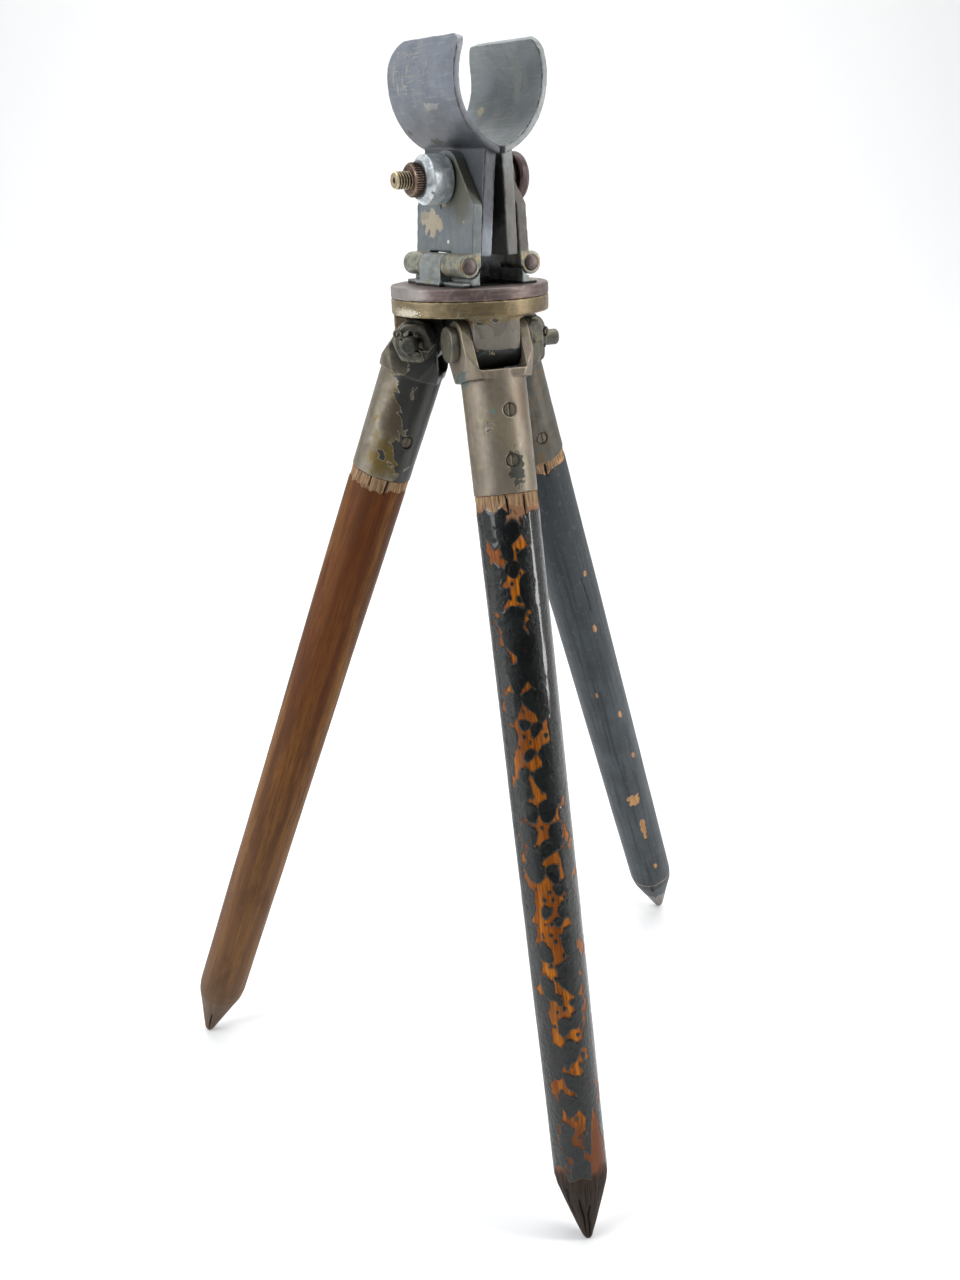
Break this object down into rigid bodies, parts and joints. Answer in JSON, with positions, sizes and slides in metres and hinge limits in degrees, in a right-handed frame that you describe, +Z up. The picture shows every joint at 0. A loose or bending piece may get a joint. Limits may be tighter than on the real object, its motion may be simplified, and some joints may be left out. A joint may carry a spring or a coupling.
{
  "type": "telescope stand tripod",
  "caption": "Small folding field tripod: a two-half cradle clamp with cross bolt on a turntable, over pointed wooden legs in bronze forks.",
  "frame": {"origin": "on the ground under the centre of the turntable", "axes": "+Z up, -Y towards the viewer of the front leg, +X to that viewer's right"},
  "size_m": [0.318, 0.2856, 0.5741],
  "materials": {
    "grey_paint": "worn slate grey paint over brass",
    "bare_steel": "dull, scratched",
    "thread_brass": "dark, worn",
    "brown_bronze": "purple-brown patina",
    "olive_brass": "olive patina",
    "fork_bronze": "grey-brown patina with dark paint remains",
    "pin_bronze": "dark grey-brown patina",
    "bare_wood": "bare, worn ash",
    "black_paint_wood": "flaking dark green-black paint over varnished ash",
    "grey_paint_wood": "slate grey paint on ash"
  },
  "bodies": {
    "base": {"base_plate": "olive_brass", "pivot_bolt": "pin_bronze", "pivot_washer": "pin_bronze", "pivot_nut": "pin_bronze"},
    "turntable": {"turntable_disc": "brown_bronze", "hinge_base_screws": "thread_brass", "left_hinge_base": "grey_paint", "right_hinge_base": "grey_paint", "left_hinge_pin": "brown_bronze", "right_hinge_pin": "brown_bronze"},
    "left_cheek": {"left_cheek": "grey_paint"},
    "right_cheek": {"right_cheek": "grey_paint"},
    "left_jaw": {"left_jaw": "grey_paint"},
    "right_jaw": {"right_jaw": "grey_paint"},
    "clamp_bolt": {"clamp_bolt": "thread_brass"},
    "clamp_collar": {"clamp_collar": "bare_steel"},
    "clamp_nut": {"clamp_nut": "brown_bronze"},
    "front_leg": {"front_leg_fork": "fork_bronze", "front_leg_shaft": "black_paint_wood", "front_leg_hinge_bolt": "pin_bronze", "front_leg_head_washer": "pin_bronze", "front_leg_nut_washer": "pin_bronze", "front_leg_castle_nut": "pin_bronze", "front_leg_split_pin": "pin_bronze", "front_leg_ferrule_screws": "thread_brass"},
    "left_leg": {"left_leg_fork": "fork_bronze", "left_leg_shaft": "bare_wood", "left_leg_hinge_bolt": "pin_bronze", "left_leg_head_washer": "pin_bronze", "left_leg_nut_washer": "pin_bronze", "left_leg_castle_nut": "pin_bronze", "left_leg_split_pin": "pin_bronze", "left_leg_ferrule_screws": "thread_brass"},
    "right_leg": {"right_leg_fork": "fork_bronze", "right_leg_shaft": "grey_paint_wood", "right_leg_hinge_bolt": "pin_bronze", "right_leg_head_washer": "pin_bronze", "right_leg_nut_washer": "pin_bronze", "right_leg_castle_nut": "pin_bronze", "right_leg_split_pin": "pin_bronze", "right_leg_ferrule_screws": "thread_brass"}
  },
  "joints": [
    {"name": "turntable_turn", "type": "hinge", "parent": "base", "child": "turntable", "pos_m": [0, 0, 0.46171], "axis": [-0.0206, 0.0769, 0.9968], "continuous": true},
    {"name": "left_cheek_open", "type": "hinge", "parent": "turntable", "child": "left_cheek", "pos_m": [-0.01482, -0.00789, 0.47706], "axis": [0.5291, -0.8451, 0.0762], "range_deg": [0, 6]},
    {"name": "right_cheek_open", "type": "hinge", "parent": "turntable", "child": "right_cheek", "pos_m": [0.0142, 0.0102, 0.47627], "axis": [-0.5291, 0.8451, -0.0762], "range_deg": [0, 6]},
    {"name": "left_jaw_tilt", "type": "hinge", "parent": "left_cheek", "child": "left_jaw", "pos_m": [-0.00875, -0.00451, 0.51445], "axis": [0.8477, 0.5226, -0.091], "range_deg": [-30, 30]},
    {"name": "right_jaw_tilt", "type": "hinge", "parent": "right_cheek", "child": "right_jaw", "pos_m": [0.00998, 0.00717, 0.51393], "axis": [0.8449, 0.533, 0.0446], "range_deg": [-30, 30]},
    {"name": "clamp_bolt_shift", "type": "slide", "parent": "turntable", "child": "clamp_bolt", "axis": [0.8483, 0.529, -0.0233], "range_m": [0, 0.00397]},
    {"name": "clamp_collar_slide", "type": "slide", "parent": "clamp_bolt", "child": "clamp_collar", "axis": [-0.8483, -0.529, 0.0233], "range_m": [0, 0.00794]},
    {"name": "clamp_nut_turn", "type": "hinge", "parent": "clamp_collar", "child": "clamp_nut", "pos_m": [0.00061, 0.00133, 0.51419], "axis": [-0.8483, -0.529, 0.0233], "range_deg": [0, 2025.7]},
    {"name": "front_leg_fold", "type": "hinge", "parent": "base", "child": "front_leg", "pos_m": [0.00874, -0.02426, 0.444], "axis": [0.9392, 0.3434, -0.0071], "range_deg": [-56.5, 12.5]},
    {"name": "left_leg_fold", "type": "hinge", "parent": "base", "child": "left_leg", "pos_m": [-0.02352, 0.00263, 0.44126], "axis": [-0.1727, -0.9823, 0.0723], "range_deg": [-49.4, 19.6]},
    {"name": "right_leg_fold", "type": "hinge", "parent": "base", "child": "right_leg", "pos_m": [0.016, 0.01708, 0.44096], "axis": [-0.7665, 0.6389, -0.0652], "range_deg": [-48.5, 20.5]}
  ],
  "couplings": [
    {"joint": "left_cheek_open", "follows": "right_cheek_open", "ratio": 1},
    {"joint": "clamp_bolt_shift", "follows": "right_cheek_open", "m_per_rad": 0.037537},
    {"joint": "clamp_collar_slide", "follows": "right_cheek_open", "m_per_rad": 0.075074},
    {"joint": "clamp_nut_turn", "follows": "right_cheek_open", "ratio": 334.28},
    {"joint": "left_jaw_tilt", "follows": "right_jaw_tilt", "ratio": 1}
  ]
}
